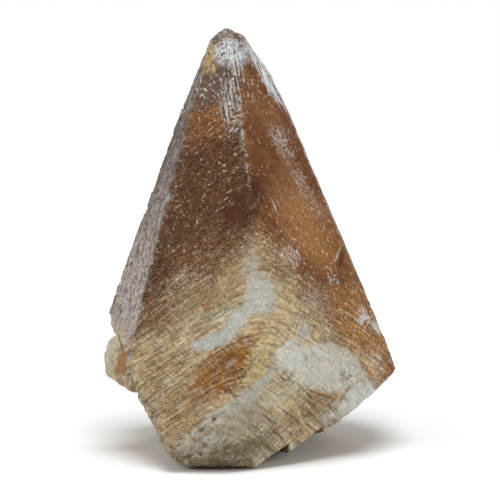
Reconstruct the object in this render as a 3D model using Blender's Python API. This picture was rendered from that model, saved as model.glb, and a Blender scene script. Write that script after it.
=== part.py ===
"""Double terminated calcite: one scalenohedral crystal that stands on its blunt lower end.

The crystal is a block cut back by its own faces. A face is placed by its direction in the crystal's own
frame, as an azimuth about the c axis and an elevation towards the tip, and by its distance from the
crystal's centre. The c axis leans back and a little to the left, and the lowest part of the lower end is
worn flat, so the crystal rests on it.

Units are metres, +Z is up, and the origin is on the ground under the middle of the crystal.
"""
import math

import bmesh
import bpy
from mathutils import Matrix, Vector

NAME = "calcite_crystal"

# How the crystal stands, in degrees: the tip leans back (+Y) and to the left (-X).
LEAN_BACK = 16.0
LEAN_LEFT = 3.0
TURN_ABOUT_C = 71.4

# The lattice of calcite. Upper faces stand in pairs, one pair about each of three blunt edges.
AXIAL_RATIO = 0.8543
BLUNT_EDGE_AZIMUTHS = (30.0, 150.0, 270.0)
PAIR_HALF_ANGLE = math.degrees(math.atan(0.6 * math.tan(math.radians(30.0))))
CLEAVAGE_ELEVATION = math.degrees(math.atan2(math.sqrt(3.0) / 2.0, AXIAL_RATIO))

# The six tall upper faces: their steepness against the c axis, and how far each stands from the centre.
UPPER_STEEPNESS = 18.5
UPPER_DISTANCES = {
    "back_right": 0.02031,
    "back_left": 0.01914,
    "left": 0.02158,
    "front_left": 0.02011,
    "front_right": 0.01824,
    "right": 0.02254,
}

# Four of them steepen towards the girdle, which leaves a low belt under each.
BELTED_FACES = ("back_left", "left", "front_right", "right")
BELT_STEEPNESS = 17.0
BELT_STAND_OUT = 0.0002

# The tip, as (azimuth, elevation, distance): a cleavage face over each blunt edge, and three worn faces.
TIP_FACES = {
    "cleavage_back": (BLUNT_EDGE_AZIMUTHS[0], CLEAVAGE_ELEVATION, 0.0385),
    "cleavage_left": (BLUNT_EDGE_AZIMUTHS[1], CLEAVAGE_ELEVATION, 0.0407),
    "cleavage_right": (BLUNT_EDGE_AZIMUTHS[2], CLEAVAGE_ELEVATION, 0.0396),
    "right_bevel": (BLUNT_EDGE_AZIMUTHS[2], 32.0, 0.02995),
    "left_bevel": (126.0, 22.6, 0.0245),
    "top": (228.4, 66.0, 0.0507),
}

# The lower termination, as (azimuth, elevation, distance).
LOWER_FACES = {
    "front": (194.0, -21.7, 0.0403),
    "front_right": (236.5, -18.6, 0.0308),
    "right": (310.9, -18.5, 0.0324),
    "left": (108.2, -21.8, 0.0269),
    "back_right": (349.1, -18.5, 0.0268),
    "back_left": (70.9, -18.5, 0.0290),
    "underside": (303.4, -57.4, 0.0308),
    "right_corner": (296.7, -49.3, 0.0320),
    "front_foot": (196.1, -66.0, 0.0442),
    "back_foot": (19.5, -30.0, 0.0286),
    "left_foot": (99.3, -49.1, 0.0334),
}

# Two ledges on the underside: left of each starting point the underside is broken back to that depth.
LEDGE_DIRECTION = Vector((1.0, 0.12, 0.05))
LEDGES = (
    (Vector((0.0150, -0.0264, -0.0219)), 0.0010),
    (Vector((0.0082, -0.0300, -0.0262)), 0.0024),
)

# The resting patch is this far below the crystal's centre.
GROUND_BELOW_CENTRE = 0.02946

# The knob: a small crystal grown into the left corner, measured from the crystal's centre.
KNOB_CENTRE = Vector((-0.0212, -0.0145, -0.0122))
KNOB_RADII = Vector((0.0062, 0.0088, 0.0062))
KNOB_LEAN = 28.0
KNOB_FACES = (
    (Vector((-1.0, -0.25, 0.10)), 0.0052),
    (Vector((-0.55, -0.10, -0.90)), 0.0052),
    (Vector((-0.30, -0.90, 0.30)), 0.0064),
    (Vector((-0.45, 0.05, 0.90)), 0.0058),
    (Vector((-0.85, -0.60, -0.45)), 0.0052),
)

# Two corners lost along the cleavage at the back: the centre of the lost block from the crystal's centre.
CHIP_SIZE = 0.009
CHIP_CENTRES = (
    Vector((0.0236, 0.0170, -0.0105)),
    Vector((-0.0172, 0.0176, -0.0052)),
)

BLOCK_SIZE = 0.3
WELD_DISTANCE = 0.000002


def crystal_axes():
    """Turn the crystal's own frame into the world's."""
    lean_left = Matrix.Rotation(math.radians(-LEAN_LEFT), 3, "Y")
    lean_back = Matrix.Rotation(math.radians(-LEAN_BACK), 3, "X")
    turn = Matrix.Rotation(math.radians(TURN_ABOUT_C), 3, "Z")
    return lean_left @ lean_back @ turn


def face_normal(azimuth, elevation):
    """World normal of the face at this azimuth about c and this elevation towards the tip."""
    around = math.radians(azimuth)
    up = math.radians(elevation)
    level = math.cos(up)
    return crystal_axes() @ Vector((math.cos(around) * level, math.sin(around) * level, math.sin(up)))


def upper_azimuths():
    """Azimuth of each tall upper face, in the order of UPPER_DISTANCES."""
    azimuths = []
    for edge in BLUNT_EDGE_AZIMUTHS:
        azimuths += [edge - PAIR_HALF_ANGLE, edge + PAIR_HALF_ANGLE]
    return dict(zip(UPPER_DISTANCES, azimuths))


def crystal_faces():
    """Every face of the crystal as (normal, distance from the centre)."""
    azimuths = upper_azimuths()
    faces = [(face_normal(azimuths[name], UPPER_STEEPNESS), far) for name, far in UPPER_DISTANCES.items()]
    for name in BELTED_FACES:
        far = UPPER_DISTANCES[name] + BELT_STAND_OUT
        faces.append((face_normal(azimuths[name], BELT_STEEPNESS), far))
    placed = [*TIP_FACES.values(), *LOWER_FACES.values()]
    faces += [(face_normal(azimuth, elevation), far) for azimuth, elevation, far in placed]
    faces.append((Vector((0.0, 0.0, -1.0)), GROUND_BELOW_CENTRE))
    return faces


def cut_back(mesh, normal, distance, centre=Vector()):
    """Cut away what lies beyond a plane, and close the cut."""
    cut = bmesh.ops.bisect_plane(
        mesh,
        geom=mesh.verts[:] + mesh.edges[:] + mesh.faces[:],
        dist=WELD_DISTANCE,
        plane_co=centre + normal.normalized() * distance,
        plane_no=normal,
        clear_outer=True,
    )
    rim = [item for item in cut["geom_cut"] if isinstance(item, bmesh.types.BMEdge)]
    if rim:
        bmesh.ops.contextual_create(mesh, geom=rim)


def solid_object(name, mesh, collection):
    """Put a closed mesh in the scene as an object of its own."""
    bmesh.ops.dissolve_degenerate(mesh, dist=WELD_DISTANCE, edges=mesh.edges[:])
    bmesh.ops.recalc_face_normals(mesh, faces=mesh.faces[:])
    data = bpy.data.meshes.new(name)
    mesh.to_mesh(data)
    mesh.free()
    made = bpy.data.objects.new(name, data)
    collection.objects.link(made)
    return made


def make_crystal(collection):
    """The block, cut back by every face of the crystal."""
    mesh = bmesh.new()
    bmesh.ops.create_cube(mesh, size=BLOCK_SIZE)
    for normal, distance in crystal_faces():
        cut_back(mesh, normal, distance)
    return solid_object(NAME, mesh, collection)


def make_knob(collection):
    """The small crystal on the left corner, a lump with four faces of its own."""
    mesh = bmesh.new()
    bmesh.ops.create_icosphere(mesh, subdivisions=3, radius=1.0)
    place = (
        Matrix.Translation(KNOB_CENTRE)
        @ Matrix.Rotation(math.radians(KNOB_LEAN), 4, "Y")
        @ Matrix.Diagonal(KNOB_RADII).to_4x4()
    )
    bmesh.ops.transform(mesh, matrix=place, verts=mesh.verts)
    for normal, distance in KNOB_FACES:
        cut_back(mesh, normal, distance, KNOB_CENTRE)
    return solid_object("knob", mesh, collection)


def make_ledge(index, start, depth, collection):
    """What the underside has lost left of a ledge line."""
    azimuth, elevation, distance = LOWER_FACES["underside"]
    normal = face_normal(azimuth, elevation)
    mesh = bmesh.new()
    bmesh.ops.create_cube(mesh, size=BLOCK_SIZE)
    cut_back(mesh, -normal, depth - distance)
    cut_back(mesh, LEDGE_DIRECTION, 0.0, start)
    return solid_object(f"ledge_cut_{index}", mesh, collection)


def make_chip(index, centre, collection):
    """A cleavage block, bounded by the six faces of calcite's cleavage."""
    mesh = bmesh.new()
    bmesh.ops.create_cube(mesh, size=BLOCK_SIZE, matrix=Matrix.Translation(centre))
    for azimuth in BLUNT_EDGE_AZIMUTHS:
        normal = face_normal(azimuth, CLEAVAGE_ELEVATION)
        cut_back(mesh, normal, CHIP_SIZE / 2.0, centre)
        cut_back(mesh, -normal, CHIP_SIZE / 2.0, centre)
    return solid_object(f"chip_cut_{index}", mesh, collection)


def combine(target, tool, operation):
    """Join or cut the crystal with another solid."""
    modifier = target.modifiers.new(f"{operation.lower()} {tool.name}", "BOOLEAN")
    modifier.operation = operation
    modifier.solver = "EXACT"
    modifier.object = tool


def hide_tool(tool):
    """Mark a solid as a tool, not as a part of the model."""
    tool.hide_render = True
    tool.display_type = "WIRE"


def calcite_material():
    """Honey-brown calcite with a satin surface."""
    material = bpy.data.materials.new("calcite")
    material.use_nodes = True
    shader = material.node_tree.nodes["Principled BSDF"]
    shader.inputs["Base Color"].default_value = (0.36, 0.22, 0.11, 1.0)
    shader.inputs["Roughness"].default_value = 0.35
    shader.inputs["Metallic"].default_value = 0.0
    return material


def stand_on_ground(objects, crystal):
    """Move everything so that the crystal rests at z = 0, with its box centred on the origin."""
    bpy.context.view_layer.update()
    shape = crystal.evaluated_get(bpy.context.evaluated_depsgraph_get())
    corners = [Vector(corner) for corner in shape.bound_box]
    low = Vector(map(min, *corners))
    high = Vector(map(max, *corners))
    middle = (low + high) / 2.0
    for item in objects:
        item.location -= Vector((middle.x, middle.y, low.z))


def main():
    for old in list(bpy.data.objects):
        bpy.data.objects.remove(old, do_unlink=True)
    parts = bpy.data.collections.new("double terminated calcite")
    tools = bpy.data.collections.new("cutters")
    bpy.context.scene.collection.children.link(parts)
    bpy.context.scene.collection.children.link(tools)

    crystal = make_crystal(parts)
    knob = make_knob(tools)
    cutters = [make_ledge(index, start, depth, tools) for index, (start, depth) in enumerate(LEDGES)]
    cutters += [make_chip(index, centre, tools) for index, centre in enumerate(CHIP_CENTRES)]
    combine(crystal, knob, "UNION")
    for cutter in cutters:
        combine(crystal, cutter, "DIFFERENCE")
    for tool in [knob] + cutters:
        hide_tool(tool)
    crystal.data.materials.append(calcite_material())
    stand_on_ground([crystal, knob] + cutters, crystal)


main()
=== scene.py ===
"""Double terminated calcite: the worn surface and finish of the crystal, in a plain studio.

The file is laid out as a Blender add-on and run as a script. One operator grows the crystal's fine surface
and gives it its finish, and one builds the floor, the lights and the camera.
"""
import math

import bmesh
import bpy
import numpy as np
from bpy.props import FloatProperty, FloatVectorProperty, IntProperty, PointerProperty
from bpy.types import Operator, Panel, PropertyGroup
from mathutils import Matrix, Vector, noise


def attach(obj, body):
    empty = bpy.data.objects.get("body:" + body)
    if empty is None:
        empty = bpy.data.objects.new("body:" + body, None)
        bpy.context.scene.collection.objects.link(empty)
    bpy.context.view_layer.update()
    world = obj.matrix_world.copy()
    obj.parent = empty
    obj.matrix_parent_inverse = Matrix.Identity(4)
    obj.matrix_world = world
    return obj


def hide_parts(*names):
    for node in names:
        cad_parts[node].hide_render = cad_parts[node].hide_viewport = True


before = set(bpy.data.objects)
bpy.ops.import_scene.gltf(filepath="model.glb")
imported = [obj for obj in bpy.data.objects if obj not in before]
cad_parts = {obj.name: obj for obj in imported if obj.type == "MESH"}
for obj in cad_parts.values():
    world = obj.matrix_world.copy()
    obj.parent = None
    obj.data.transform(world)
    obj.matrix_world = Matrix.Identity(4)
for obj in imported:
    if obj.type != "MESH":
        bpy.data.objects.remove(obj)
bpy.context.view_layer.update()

bl_info = {
    "name": "Double terminated calcite",
    "version": (1, 0, 0),
    "blender": (4, 5, 0),
    "location": "View3D > Sidebar > Calcite",
    "description": "Grows the worn surface of a calcite crystal and stands it in a plain studio",
    "category": "Object",
}

NODE = "calcite_crystal"
BODY = "root"
PIECE = "crystal_surface"

# Shaping works in millimetres.
MM = 1000.0

# How much of the cube round the crystal its fine grid takes up: this sets the size of the mesh.
GRID_FILL = 0.74

# The crystal's faces, as azimuth (0 faces the front, positive to the right) and elevation in degrees.
FACES = {
    "left": (-73.9, 21.0),
    "front_left": (-35.0, 30.5),
    "front_right": (57.0, 30.2),
    "right": (95.9, 20.6),
    "back_left": (-150.9, 3.1),
    "back_right": (172.8, 3.0),
    "tip_back": (-169.1, 29.1),
    "tip_left": (-66.3, 51.6),
    "tip_right": (88.3, 51.3),
    "tip_top": (60.0, 80.0),
    "right_bevel": (81.6, 38.7),
    "left_bevel": (-80.0, 23.5),
    "lower_front": (-4.0, -6.0),
    "lower_front_right": (36.0, -4.0),
    "lower_right": (106.0, -21.0),
    "lower_left": (-84.0, -24.0),
    "lower_back_right": (145.0, -30.5),
    "lower_back_left": (-123.0, -30.2),
    "underside": (80.0, -55.0),
    "right_corner": (80.0, -46.0),
    "front_foot": (2.0, -50.0),
    "back_foot": (178.0, -46.0),
    "left_foot": (-80.0, -52.0),
    "ground": (0.0, -90.0),
}
SAME_FACE_DEGREES = 2.5
SAME_PLANE_DEGREES = 0.6

# Points nearer to a face than this, in mm, lie on the hull, and the others on a ledge or the knob.
ON_HULL = 0.12

# The lower faces that broke or grew rough.
ROUGH_FACES = (
    "lower_front", "lower_right", "lower_left", "lower_back_right", "lower_back_left",
    "underside", "right_corner", "front_foot", "back_foot", "left_foot",
)

# Calcite cleaves along three directions, and three faces of the tip lie along them.
CLEAVAGES = (FACES["tip_back"], FACES["tip_left"], FACES["tip_right"])

# Wavy steps that run the length of a face, beside one of its edges: the face, the one it meets there, their
# width and depth in mm, and a seed.
GROOVES = (
    ("left", "front_left", 2.3, 0.34, 4),
    ("back_left", "left", 3.4, 0.18, 13),
    ("back_right", "right", 3.0, 0.16, 14),
    ("right", "front_right", 3.6, 0.10, 15),
)

# The faces where the cleavage shows as fine terraces, below the cap.
TERRACED_FACES = ("front_left", "front_right", "lower_front_right", "lower_front")

# Steps on the surface: how wide and how deep they are, in mm.
RIDGE_STEPS = (1.1, 0.20)
TERRACES = (1.5, 0.08)
BROKEN_STEPS = (1.6, 0.17)
EDGE_TEETH = (1.3, 0.8)

# Faces that meet at less than this angle have no edge that could wear.
DULL_EDGE_DEGREES = 20.0

# How far in from an edge its wear reaches, in mm.
WHITE_REACH = 0.4
NICKS_REACH = 0.8
TEETH_REACH = 1.1

# How rounded the front ridge is by height, and the girdle from side to side, in mm: the least, what comes on
# top of it, and where that starts and where it is full.
RIDGE_ROUNDING = (0.26, 2.3, 56.0, 36.0)
GIRDLE_ROUNDING = (0.45, 2.0, 13.0, 2.0)

# Chips knocked off the edges, by the two faces that meet there: the height and the depth of each in mm.
CHIPS = {
    ("front_left", "front_right"): ((73.0, 0.5), (68.0, 0.6), (63.5, 0.7), (60.5, 0.5), (55.0, 0.35)),
    ("left", "front_left"): ((48.5, 0.7), (60.0, 0.4), (36.0, 0.4)),
    ("front_right", "right"): ((41.0, 0.5), (27.0, 0.8), (24.0, 0.9), (16.5, 1.2)),
    ("right", "back_right"): ((60.0, 0.9), (33.0, 1.1)),
    ("back_left", "back_right"): ((52.0, 1.0), (66.0, 0.8)),
    ("left", "back_left"): ((45.0, 0.9),),
}

# The plane that takes the edge between two faces off, as (height, depth) in mm at its lower and upper end.
LONG_BEVEL = ("front_right", "right", (20.0, 0.12), (66.0, 0.24))

# Places where the crystal is fuller than its flat faces: centre, radius and height in mm.
SWELLS = (
    ((-27.5, 6.3, 24.5), 5.0, 1.0),
    ((-20.5, -19.5, 13.5), 6.0, 0.8),
    ((-1.5, 23.5, 80.7), 4.4, 0.9),
)


def toward(azimuth, elevation):
    """Unit vector at this azimuth, where 0 is the front, and this elevation, in degrees."""
    around = math.radians(azimuth)
    up = math.radians(elevation)
    return np.array((math.sin(around) * math.cos(up), -math.cos(around) * math.cos(up), math.sin(up)))


def unit(vector):
    """The same direction, with a length of 1."""
    return vector / np.linalg.norm(vector)


def ramp(values, none, full):
    """0 at none and before it, 1 at full and beyond it, and smooth between them."""
    share = np.clip((values - none) / (full - none), 0.0, 1.0)
    return share * share * (3.0 - 2.0 * share)


def growing(values, least, more, none, full):
    """A size that grows from the least to the least and more."""
    return least + more * ramp(values, none, full)


def saw(values):
    """A stair profile: it climbs slowly from 0 to 1 and drops back at each whole number."""
    return values - np.floor(values)


def wander(points, size, seed, octaves=3):
    """Smooth noise, about -1 to 1, with waves of this size in mm."""
    shift = Vector((17.3, 5.1, 9.7)) * seed
    return np.array([noise.fractal(Vector(p) / size + shift, 0.8, 2.0, octaves) for p in points])


def cad_planes():
    """The planes that bound the CAD crystal, each as a normal and a distance in mm."""
    planes = []
    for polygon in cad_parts[NODE].data.polygons:
        normal = np.array(polygon.normal)
        planes.append((*normal, normal @ np.array(polygon.center) * MM))
    return np.array(planes)


def hull_faces():
    """The planes of each named face: the outermost in every direction, so that a ledge doesn't count."""
    planes = cad_planes()
    same_face = math.cos(math.radians(SAME_FACE_DEGREES))
    same_plane = math.cos(math.radians(SAME_PLANE_DEGREES))
    faces = {}
    for name, direction in FACES.items():
        kept = []
        near = planes[planes[:, :3] @ toward(*direction) > same_face]
        for plane in near[np.argsort(-near[:, 3])]:
            if all(plane[:3] @ other[:3] < same_plane for other in kept):
                kept.append(plane)
        faces[name] = np.array(kept)
    return faces


def level_of(points, planes):
    """How far each point stands outside a face, in mm, and the normal there."""
    levels = points @ planes[:, :3].T - planes[:, 3]
    return levels.max(axis=1), planes[levels.argmax(axis=1), :3]


def joined(one, other, softness):
    """Two faces as one surface, with a rounded edge between them."""
    (level_a, normal_a), (level_b, normal_b) = one, other
    share = 1.0 / (1.0 + np.exp(np.clip((level_b - level_a) / softness, -40.0, 40.0)))
    extra = softness * np.log1p(np.exp(-np.abs(level_a - level_b) / softness))
    level = np.maximum(level_a, level_b) + extra
    return level, normal_a * share[:, None] + normal_b * (1.0 - share)[:, None]


def edge_line(faces, first, second):
    """A point on the edge where two faces meet, and the edge's direction, upwards."""
    a = faces[first][0]
    b = faces[second][0]
    along = unit(np.cross(a[:3], b[:3]))
    along *= np.sign(along[2])
    point = np.linalg.solve(np.array((a[:3], b[:3], along)), np.array((a[3], b[3], 0.0)))
    return point, along


def edge_point(faces, first, second, height):
    """The point of that edge at this height in mm."""
    point, along = edge_line(faces, first, second)
    return point + along * (height - point[2]) / along[2]


def off_edge(faces, first, second):
    """Straight out from the edge between two faces."""
    return unit(faces[first][0][:3] + faces[second][0][:3])


def bevel(faces, first, second, low, high):
    """A plane that takes an edge off: low and high are (height, depth) in mm."""
    across = off_edge(faces, first, second)
    bottom = edge_point(faces, first, second, low[0]) - across * low[1]
    run = edge_point(faces, first, second, high[0]) - across * high[1] - bottom
    normal = unit(across - run * (across @ run) / (run @ run))
    return np.array(((*normal, normal @ bottom),))


def soft_hull(points, faces, rounding):
    """How far each point is outside the worn hull, and the way outwards."""
    levels = {name: level_of(points, planes) for name, planes in faces.items()}
    ridge = growing(points[:, 2], *RIDGE_ROUNDING)
    girdle = growing(points[:, 0], *GIRDLE_ROUNDING)
    front = joined(levels.pop("front_left"), levels.pop("front_right"), ridge)
    front = joined(front, levels.pop("lower_front_right"), girdle)
    surfaces = [front, *levels.values()]
    level = np.stack([item[0] for item in surfaces], axis=1)
    normal = np.stack([item[1] for item in surfaces], axis=1)
    top = level.max(axis=1, keepdims=True)
    weight = np.exp((level - top) / rounding[:, None])
    total = weight.sum(axis=1, keepdims=True)
    outwards = (normal * (weight / total)[:, :, None]).sum(axis=1)
    return (top + rounding[:, None] * np.log(total))[:, 0], outwards


def nearest_edge(levels):
    """For each point, how deep it is under the next face, how far it is from the nearest real edge, and
    how far it is from the hull itself, in mm."""
    directions = np.array([toward(*FACES[name]) for name in levels])
    below = np.stack(list(levels.values()), axis=1)
    top = below.argmax(axis=1)
    hull = below.max(axis=1)
    below = hull[:, None] - below
    bend = np.sqrt(np.clip(1.0 - (directions[top] @ directions.T) ** 2, 0.0, 1.0))
    sharp = bend > math.sin(math.radians(DULL_EDGE_DEGREES))
    to_edge = np.where(sharp, below / np.maximum(bend, 0.01), np.inf).min(axis=1)
    below.sort(axis=1)
    return below[:, 1], to_edge, hull


def knock_off(points, at, outwards, depth, reach):
    """Break a corner off along the three cleavages. Returns the points and how far each one moved."""
    planes = np.array([toward(*direction) for direction in CLEAVAGES])
    facing = planes @ outwards
    planes *= np.sign(facing)[:, None]
    facing = np.maximum(np.abs(facing), 0.05)
    bite = ((points - at) @ planes.T + depth) / facing
    moved = np.clip(bite.min(axis=1), 0.0, depth * 3.0)
    moved *= np.linalg.norm(points - at, axis=1) < reach
    return points - outwards * moved[:, None], moved


def chip_edges(points, faces, reach):
    """Knock every chip off. Returns the points and how far each one moved."""
    chipped = np.zeros(len(points))
    for edge, chips in CHIPS.items():
        for height, depth in chips:
            at = edge_point(faces, *edge, height)
            points, moved = knock_off(points, at, off_edge(faces, *edge), depth, reach)
            chipped = np.maximum(chipped, moved)
    return points, chipped


def points_of(mesh):
    """The mesh's points in mm."""
    flat = np.empty(len(mesh.vertices) * 3, np.float32)
    mesh.vertices.foreach_get("co", flat)
    return flat.reshape(-1, 3).astype(float) * MM


def keep_points(mesh, points):
    """Write the points back, in metres."""
    mesh.vertices.foreach_set("co", (points / MM).astype(np.float32).ravel())
    mesh.update()


def keep_mask(mesh, name, values):
    """Keep one number a point, for the finish to read."""
    layer = mesh.attributes.new(name, "FLOAT", "POINT")
    layer.data.foreach_set("value", values.astype(np.float32))


def add_object(name, data, place=(0.0, 0.0, 0.0), target=None):
    """An object at a place in metres, which faces its target if it has one."""
    item = bpy.data.objects.new(name, data)
    item.location = place
    if target:
        item.rotation_euler = (Vector(target) - item.location).to_track_quat("-Z", "Y").to_euler()
    bpy.context.scene.collection.objects.link(item)
    return item


def fine_copy(name, grid_depth):
    """A finely and evenly meshed copy of the CAD crystal."""
    copy = add_object(name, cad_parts[NODE].data.copy())
    grid = copy.modifiers.new("fine grid", "REMESH")
    grid.mode = "SHARP"
    grid.octree_depth = grid_depth
    grid.scale = GRID_FILL
    bpy.context.view_layer.update()
    shape = copy.evaluated_get(bpy.context.evaluated_depsgraph_get())
    mesh = bpy.data.meshes.new_from_object(shape)
    copy.modifiers.remove(grid)
    copy.data = mesh
    mesh.name = name
    mesh.materials.clear()
    return copy


def face_share(levels, name, blur):
    """1 on that face and 0 on the others, with this much blur in mm over the edges."""
    others = np.max([level for other, level in levels.items() if other != name], axis=0)
    return ramp(levels[name] - others, -blur, blur)


def any_face(levels, names, blur):
    """1 on any of these faces."""
    return np.max([face_share(levels, name, blur) for name in names], axis=0)


def right_of_ridge(height, levels):
    """1 to the right of the front ridge and 0 to its left, with a boundary that softens downwards."""
    left = levels["front_left"]
    right = levels["front_right"]
    blur = growing(height, 0.3, 4.0, 50.0, 32.0) + 9.0 * ramp(-np.maximum(left, right), 2.0, 10.0)
    return ramp(right - left, -blur, blur)


def swell(points, outwards, at, radius, height):
    """Raise the surface round one place."""
    away = np.linalg.norm(points - np.array(at), axis=1)
    return points + outwards * (height * (1.0 - ramp(away, 0.0, radius)))[:, None]


def grooves(points, faces, face, beside, width, depth, seed):
    """Wavy steps that run the length of a face, in mm."""
    start, along = edge_line(faces, face, beside)
    across = np.cross(faces[face][0][:3], along)
    run = (points - start) @ along
    side = (points - start) @ across
    lane = np.stack((side / 2.2, run / 15.0, np.zeros(len(run))), axis=1)
    steps = saw(side / width + 1.1 * wander(lane, 1.0, seed)) - 0.5
    return depth * steps * ramp(np.abs(side), 0.2, 1.2)


def ridge_steps(points, levels):
    """The fine steps beside the front ridge, towards the tip, in mm."""
    width, depth = RIDGE_STEPS
    steps = np.zeros(len(points))
    for name, other in (("front_left", "front_right"), ("front_right", "front_left")):
        from_ridge = levels[name] - levels[other]
        beside = ramp(from_ridge, 4.2, 2.2) * (from_ridge > 0.0)
        steps += depth * (saw(from_ridge / width + 0.35 * wander(points, 7.0, 5)) - 0.5) * beside
    return steps * ramp(points[:, 2], 55.0, 64.0)


def terraces(points, levels):
    """Fine terraces along the first cleavage, on the faces in front below the cap, in mm."""
    width, depth = TERRACES
    steps = saw(points @ toward(*CLEAVAGES[0]) / width + 0.4 * wander(points, 6.0, 12)) - 0.5
    return depth * any_face(levels, TERRACED_FACES, 0.5) * steps * ramp(points[:, 2], 40.0, 30.0)


def edge_teeth(points):
    """Notches where a cleavage crosses a broken edge, in mm."""
    width, depth = EDGE_TEETH
    teeth = saw(points @ toward(*CLEAVAGES[1]) / width + 0.7 * wander(points, 5.0, 11))
    return depth * 1.3 * teeth * (1.0 - ramp(teeth, 0.65, 1.0))


def broken_steps(points):
    """Small steps along the three cleavages, on the broken lower faces, in mm."""
    width, depth = BROKEN_STEPS
    broken = np.zeros(len(points))
    for number, direction in enumerate(CLEAVAGES):
        along_plane = points @ toward(*direction)
        broken += saw(along_plane / (width + 0.5 * number) + 0.8 * wander(points, 5.0, 6 + number)) - 0.5
    return depth * broken + 0.16 * wander(points, 2.2, 9)


def face_relief(points, faces, levels, on_hull):
    """Swells, growth steps, grooves and roughness, in mm."""
    rough = np.maximum(any_face(levels, ROUGH_FACES, 0.5), 0.6 * (1.0 - on_hull))
    relief = 0.10 * wander(points, 13.0, 2) + 0.05 * wander(points, 3.5, 3)
    relief += ridge_steps(points, levels) + terraces(points, levels) + rough * broken_steps(points)
    for face, *groove in GROOVES:
        relief += face_share(levels, face, 0.25) * grooves(points, faces, face, *groove)
    return relief


def wear_down(points, faces, wear, on_hull):
    """Round every edge and corner off. Returns the points and the way outwards at each."""
    height = points[:, 2]
    rounding = wear.edge_rounding * MM * (1.0 + 0.7 * np.clip(wander(points, 5.0, 1), -0.8, 1.0))
    rounding += wear.tip_rounding * MM * ramp(height, 72.0, 80.0) + 0.18 * ramp(height, 14.0, 4.0)
    for _ in range(3):
        level, outwards = soft_hull(points, faces, rounding)
        size = (outwards * outwards).sum(axis=1, keepdims=True)
        points = np.where(on_hull[:, None], points - outwards * level[:, None] / size, points)
    return points, outwards / np.sqrt(size)


def shape_surface(mesh, wear):
    """Wear, chip and roughen the fine mesh, and keep the masks that its finish reads."""
    faces = hull_faces()
    points = points_of(mesh)
    height = points[:, 2]
    levels = {name: level_of(points, planes)[0] for name, planes in faces.items()}
    gap, to_edge, hull = nearest_edge(levels)
    on_hull = np.abs(hull) < ON_HULL
    masks = {"left": face_share(levels, "left", 0.25), "right_side": right_of_ridge(height, levels)}
    relief = face_relief(points, faces, levels, on_hull) * wear.relief

    faces["long_bevel"] = bevel(faces, *LONG_BEVEL)
    bevelled = levels["right_bevel"] - np.maximum(levels["front_right"], levels["right"])
    bevelled = np.maximum(bevelled, level_of(points, faces["long_bevel"])[0])
    masks["bevelled"] = ramp(bevelled, -0.05, 0.05)
    points, outwards = wear_down(points, faces, wear, on_hull)

    across_ridge = np.abs(levels["front_right"] - levels["front_left"])
    soft_ridge = (1.0 - ramp(across_ridge, 1.0, 3.0)) * ramp(height, 57.0, 49.0)
    soft_girdle = ramp(levels["lower_front_right"], -2.0, -0.5) * ramp(points[:, 0], 16.0, 9.0)
    sharp = on_hull * (1.0 - np.maximum(soft_ridge, soft_girdle))
    near_left = np.exp(-np.abs(levels["left"] - levels["front_left"]) / 1.2) * (height > 22.0)
    masks["edge"] = np.exp(-gap / WHITE_REACH) * sharp * (1.0 - 0.75 * near_left)
    nicks = np.clip(wander(points, 1.5, 10, 2) - 0.05, 0.0, 0.6)
    relief -= np.exp(-to_edge / NICKS_REACH) * sharp * nicks * growing(height, 0.35, 0.8, 30.0, 10.0)
    masks["relief"] = np.clip(relief / 0.3, -1.0, 1.0)
    teeth = edge_teeth(points) * np.exp(-to_edge / TEETH_REACH) * sharp * ramp(height, 16.0, 7.0)
    points = points + outwards * (relief - teeth)[:, None]

    for at, radius, rise in SWELLS:
        points = swell(points, outwards, at, radius, rise)
    points, chipped = chip_edges(points, faces, wear.chip_reach * MM)
    masks["chipped"] = np.clip(chipped / 0.15, 0.0, 1.0)
    points[:, 2] = np.maximum(points[:, 2], 0.0)
    keep_points(mesh, points)
    for name, values in masks.items():
        keep_mask(mesh, name, values)


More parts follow.
